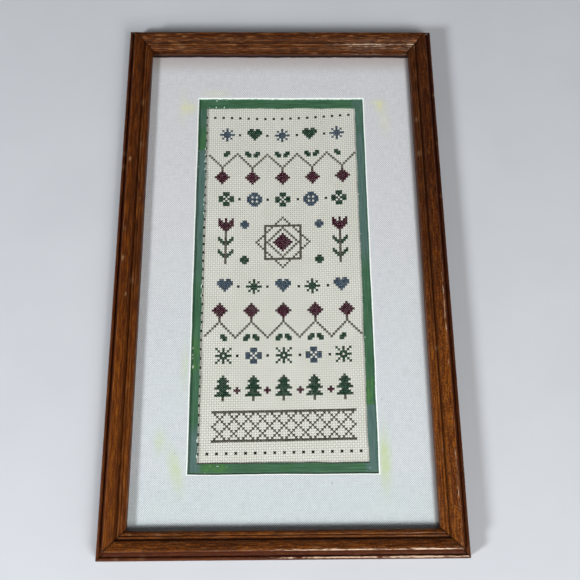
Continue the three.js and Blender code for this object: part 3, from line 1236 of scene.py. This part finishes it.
def add_cloth():
    """The cream evenweave: a point at each square's middle, sides and corner holes."""
    low, high = box_mm("stitched_cloth")
    columns = np.arange(-WOVEN_LEFT, GRID_COLUMNS + WOVEN_RIGHT + HALF_SQUARE / 2, HALF_SQUARE)
    rows = np.arange(-WOVEN_ENDS, GRID_ROWS + WOVEN_ENDS + HALF_SQUARE / 2, HALF_SQUARE)
    column, row = np.meshgrid(columns, rows, indexing="ij")
    z = high[2] + cloth_height(column, row) + weave_relief(column, row)
    points = np.pad(np.stack((*cloth_place(column, row), z), -1), ((1, 1), (1, 1), (0, 0)), "edge")
    points[0, :, 0], points[-1, :, 0] = low[0], high[0]
    points[:, 0, 1], points[:, -1, 1] = high[1], low[1]
    for edge in (points[0], points[-1], points[:, 0], points[:, -1]):
        edge[:, 2] = high[2]
    index = np.arange(points[..., 0].size).reshape(points.shape[:2])
    quads = np.stack((index[:-1, :-1], index[:-1, 1:], index[1:, 1:], index[1:, :-1]), -1).reshape(-1, 4)
    rim = np.concatenate((index[:-1, 0], index[-1, :-1], index[:0:-1, -1], index[0, :0:-1]))
    flat = points.reshape(-1, 3)
    under = flat[rim].copy()
    under[:, 2] = low[2]
    below = len(flat) + np.arange(len(rim))
    sides = np.stack((rim, np.roll(rim, -1), np.roll(below, -1), below), 1)
    faces = quads.tolist() + sides.tolist() + [below.tolist()]
    whole = np.concatenate((flat, under))
    finishes = (evenweave_finish(),)
    piece = add_piece("evenweave_cloth", whole, faces, ("stitched_cloth",), finishes)
    counted = np.meshgrid(beyond(columns, HIDDEN_COLUMNS), beyond(rows, HIDDEN_ROWS), indexing="ij")
    squares = np.stack(counted, -1).reshape(-1, 2) + HALF_SQUARE
    add_uv(piece, "squares", np.concatenate((squares, squares[rim])))
    return piece


# The chart: small common motifs, each a mark for a stitched square, and the columns where they stand

MOTIFS = {
    "star": "...#.../.#.#.#./..###../#######/..###../.#.#.#./...#...",
    "heart": ".##.##./#######/#######/.#####./..###../...#...",
    "quatrefoil": "..###../..###../##.#.##/###.###/##.#.##/..###../..###..",
    "button": "..###../.#####./##.#.##/#######/##.#.##/.#####./..###..",
    "seed": ".##./####/####/.##.",
    "lozenge": "...#.../..###../.#####./#######/.#####./..###../...#...",
    "tulip": "#..#..#/##.#.##/#######/#######/.#####./..###..",
    "tulip_leaves": "#.....#/##...##/.##.##./..#.#..",
    "frost": "#..#..#/.#.#.#./..###../###.###/..###../.#.#.#./#..#..#",
    "pine": "...#.../..###../.#####./..###../.#####./#######/..###../.#####./#######",
    "leaf": "##./###/.##",
    "berry": ".#./###/.#.",
}
BAND_CENTRES = (10, 23, 36, 49, 62)
BAND_DOTS = (16, 29, 43, 56)
VINE_BUDS = (8, 22, 36, 50, 64)
VINE_LEAVES = (15, 29, 43, 57)
VINE_HALF = 7
STAR_CENTRE = (36, 63)
STAR_REACH = 12
STAR_RING = 7
STAR_SQUARE = 8
STAR_HEART = 4
TULIP_STEM = range(6, 22)
TULIP_LEAVES = (9, 15)
PINE_TRUNK = (9, 10)
TRELLIS_PITCH = 6


class Chart:
    """The stitched squares, each with its colour."""

    def __init__(self):
        self.squares = {}

    def stitch(self, column, row, colour):
        self.squares.setdefault((column, row), colour)

    def motif(self, name, centre, top, colour, mirrored=False):
        """A motif about a centre column, from its top row down."""
        for row, marks in enumerate(MOTIFS[name].split("/")):
            marks = marks[::-1] if mirrored else marks
            for column, mark in enumerate(marks):
                if mark == "#":
                    self.stitch(centre - len(marks) // 2 + column, top + row, colour)

    def band(self, top, first, second):
        """Five motifs in a row, two kinds by turns, with a dot between each pair."""
        for number, centre in enumerate(BAND_CENTRES):
            name, colour = second if number % 2 else first
            self.motif(name, centre, top, colour)
        for column in BAND_DOTS:
            self.stitch(column, top + 3, "black")

    def vine(self, top, direction):
        """A zigzag stem with a bud at each point on one side and leaf pairs at the others."""
        for column in range(2, GRID_COLUMNS - 1):
            step = abs((column - GRID_COLUMNS // 2) % (2 * VINE_HALF) - VINE_HALF)
            self.stitch(column, top + direction * step, "olive")
        for centre in VINE_BUDS:
            self.stitch(centre, top + direction * (VINE_HALF + 1), "olive")
            self.motif("lozenge", centre, top + direction * 12 - 3, "maroon")
        for centre in VINE_LEAVES:
            for side in (-1, 1):
                self.motif("leaf", centre + side * 5, top - 1, "green", mirrored=side * direction < 0)

    def border(self):
        """A dot every fourth square around the edge."""
        for column in range(0, GRID_COLUMNS + 1, BORDER_PITCH):
            self.stitch(column, 0, "black")
            self.stitch(column, GRID_ROWS, "black")
        for row in range(0, GRID_ROWS + 1, BORDER_PITCH):
            self.stitch(0, row, "black")
            self.stitch(GRID_COLUMNS, row, "black")

    def large_star(self):
        """Two outlined squares, one set on its corner, around a solid lozenge."""
        centre_column, centre_row = STAR_CENTRE
        reach = range(-STAR_REACH, STAR_REACH + 1)
        for column in reach:
            for row in reach:
                leaning = abs(column) + abs(row)
                square = max(abs(column), abs(row))
                if leaning in (STAR_REACH, STAR_RING) or square == STAR_SQUARE:
                    self.stitch(centre_column + column, centre_row + row, "olive")
                elif leaning <= STAR_HEART:
                    self.stitch(centre_column + column, centre_row + row, "maroon")

    def tulip(self, centre, top):
        """A tulip on a stem with two pairs of leaves."""
        self.motif("tulip", centre, top, "maroon")
        for row in TULIP_STEM:
            self.stitch(centre, top + row, "olive")
        for row in TULIP_LEAVES:
            self.motif("tulip_leaves", centre, top + row, "green")

    def pine(self, centre, top):
        """A pine on a short trunk."""
        self.motif("pine", centre, top, "green")
        for row in PINE_TRUNK:
            self.stitch(centre, top + row, "olive")

    def trellis(self, top, height):
        """A band of crossing slanted lines between two level ones."""
        for column in range(TRELLIS_PITCH, GRID_COLUMNS - TRELLIS_PITCH + 1):
            for row in range(height):
                slanted = 0 in ((column + row) % TRELLIS_PITCH, (column - row) % TRELLIS_PITCH)
                if slanted or row in (0, height - 1):
                    self.stitch(column, top + row, "olive")


def sampler():
    """The whole chart, band by band from the top."""
    chart = Chart()
    chart.border()
    chart.band(6, ("star", "blue"), ("heart", "green"))
    chart.vine(19, 1)
    chart.band(39, ("quatrefoil", "green"), ("button", "blue"))
    chart.large_star()
    for centre in (10, 62):
        chart.tulip(centre, 52)
    for centre in (19, 53):
        chart.motif("seed", centre, 53, "blue")
        chart.motif("seed", centre, 70, "green")
    chart.band(81, ("heart", "blue"), ("star", "green"))
    chart.vine(107, -1)
    chart.band(112, ("frost", "green"), ("quatrefoil", "blue"))
    for centre in BAND_CENTRES:
        chart.pine(centre, 124)
    for centre in BAND_DOTS:
        chart.motif("berry", centre, 129, "maroon")
    chart.trellis(139, 13)
    return chart.squares


# The stitches

def strand_line(leg, strand, slope):
    """Middle line of one strand of one leg: squares across and down, then millimetres aside and up."""
    t = np.linspace(0, 1, STRAND_RINGS)
    lift = np.sin(math.pi * t)
    aside = (strand * 2 - 1) * STRAND_SPREAD * (STRAND_PINCH[0] + STRAND_PINCH[1] * lift)
    up = -HOLE_SHARE * HOLE_DEPTH + lift * (LEG_LIFT + SECOND_LEG_LIFT * leg)
    up += SECOND_STRAND_LIFT * strand * lift
    return t - 0.5, slope * (t - 0.5), aside, up


def add_stitches(colour, squares, finish):
    """All the crosses of one colour as one mesh: two legs of two strands each."""
    random = np.random.default_rng(STITCH_SEED + sum(map(ord, colour)))
    column, row = np.array(sorted(squares), float).T
    count = len(column)
    centre_x, centre_y = cloth_place(column, row)
    base = box_mm("stitched_cloth")[1][2] + cloth_height(column, row)
    beside_mat = INNER_WINDOW.half_wide - np.abs(centre_x) < PRESSED_REACH
    pressed = np.where(beside_mat, PRESSED_SHARE, 1.0)[:, None]
    shade = random.uniform(*STITCH_SHADES, count)
    leans = random.normal(0, LEAN_SPREAD, (count, 4))
    plump = random.uniform(*PLUMPNESS, (count, 4)) * FULLNESS.get(colour, 1.0)
    angles = np.arange(STRAND_SIDES) * 2 * math.pi / STRAND_SIDES
    skin, *caps = tube_faces(STRAND_RINGS, STRAND_SIDES)
    per_strand = STRAND_RINGS * STRAND_SIDES
    points, faces, shades = [], [], []
    for number in range(4):
        leg, strand = divmod(number, 2)
        slope = 1 - 2 * leg
        across, down, aside, up = strand_line(leg, strand, slope)
        beside = np.array((-slope, 1)) / math.sqrt(2)
        lean = leans[:, number, None]
        line_x = centre_x[:, None] + across * SQUARE + beside[0] * aside + lean * beside[0]
        line_y = centre_y[:, None] + down * SQUARE_DOWN + beside[1] * aside + lean * beside[1]
        line_z = base[:, None] + up * pressed
        radius = STRAND_RADIUS * plump[:, number, None, None] * np.array(STRAND_TAPER)[None, :, None]
        ring_x = line_x[:, :, None] + radius * np.cos(angles) * beside[0]
        ring_y = line_y[:, :, None] + radius * np.cos(angles) * beside[1]
        ring_z = line_z[:, :, None] + radius * (STRAND_FLATNESS * pressed[:, :, None]) * np.sin(angles)
        points.append(np.stack((ring_x, ring_y, ring_z), -1).reshape(-1, 3))
        shades.append(np.repeat(shade + random.normal(0, SHADE_SPREAD, count), per_strand))
        offsets = (number * count + np.arange(count))[:, None] * per_strand
        faces += (skin + offsets[:, None]).reshape(-1, 4).tolist()
        for cap in caps:
            faces += (cap + offsets).tolist()
    piece = add_piece("stitches_" + colour, np.concatenate(points), faces, (), (finish,))
    add_values(piece, "shade", np.clip(np.concatenate(shades), 0, 1))
    lay = np.meshgrid(np.linspace(0, 1, STRAND_RINGS), np.arange(STRAND_SIDES) / STRAND_SIDES, indexing="ij")
    add_uv(piece, "strand", np.tile(np.stack(lay, -1).reshape(-1, 2), (4 * count, 1)))
    return piece


def add_sampler():
    """The stitched cloth: evenweave and its crosses."""
    cloth = add_cloth()
    squares = sampler()
    for colour, paint in THREADS.items():
        chosen = [place for place, given in squares.items() if given == colour]
        add_stitches(colour, chosen, thread_finish("thread_" + colour, paint))


# The stage

def add_floor():
    """A wide plain floor under the frame."""
    half = FLOOR_HALF * MM
    mesh = bpy.data.meshes.new("floor")
    corners = [(-half, -half, 0), (half, -half, 0), (half, half, 0), (-half, half, 0)]
    mesh.from_pydata(corners, [], [range(4)])
    mesh.materials.append(floor_finish())
    floor = bpy.data.objects.new("floor", mesh)
    bpy.context.scene.collection.objects.link(floor)


def add_light(name, place, size, power, colour):
    """A soft light of some width and height that faces the object."""
    light = bpy.data.lights.new(name, "AREA")
    light.shape = "RECTANGLE"
    light.size, light.size_y = size
    light.energy = power
    light.color = colour
    holder = bpy.data.objects.new(name, light)
    bpy.context.scene.collection.objects.link(holder)
    holder.location = place
    holder.rotation_euler = (-Vector(place)).to_track_quat("-Z", "Y").to_euler()


def add_surround():
    """A dim surround, paler from below than from above."""
    world = bpy.data.worlds.new("surround")
    world.use_nodes = True
    nodes = world.node_tree.nodes
    direction = nodes.new("ShaderNodeTexCoord").outputs["Generated"]
    split = nodes.new("ShaderNodeSeparateXYZ")
    shade = nodes.new("ShaderNodeValToRGB")
    shade.color_ramp.elements[0].color = SURROUND_LOW
    shade.color_ramp.elements[1].color = SURROUND_HIGH
    for start, end in ((direction, split.inputs[0]), (split.outputs["Z"], shade.inputs[0]),
                       (shade.outputs["Color"], nodes["Background"].inputs["Color"])):
        world.node_tree.links.new(start, end)
    bpy.context.scene.world = world


def add_camera():
    """A camera above the near edge, looking a little away from straight down."""
    camera = bpy.data.cameras.new("camera")
    camera.sensor_width = SENSOR_WIDTH
    camera.lens = FOCAL_PIXELS * SENSOR_WIDTH / PICTURE_PIXELS
    camera.clip_start = NEAR_CLIP * MM
    holder = bpy.data.objects.new("camera", camera)
    holder.matrix_world = Matrix.Translation([part * MM for part in CAMERA_PLACE])
    for degrees, axis in ((CAMERA_ROLL, "Z"), (CAMERA_TILT, "X"), (CAMERA_PAN, "Y")):
        holder.matrix_world = holder.matrix_world @ Matrix.Rotation(math.radians(degrees), 4, axis)
    bpy.context.scene.collection.objects.link(holder)
    bpy.context.scene.camera = holder


add_camera()
for light_name, light_settings in LIGHTS.items():
    add_light(light_name, *light_settings)
add_surround()
add_floor()
add_rails()
add_outer_mat()
add_inner_mat()
add_backing()
add_sampler()
bpy.context.scene.view_settings.view_transform = "Standard"
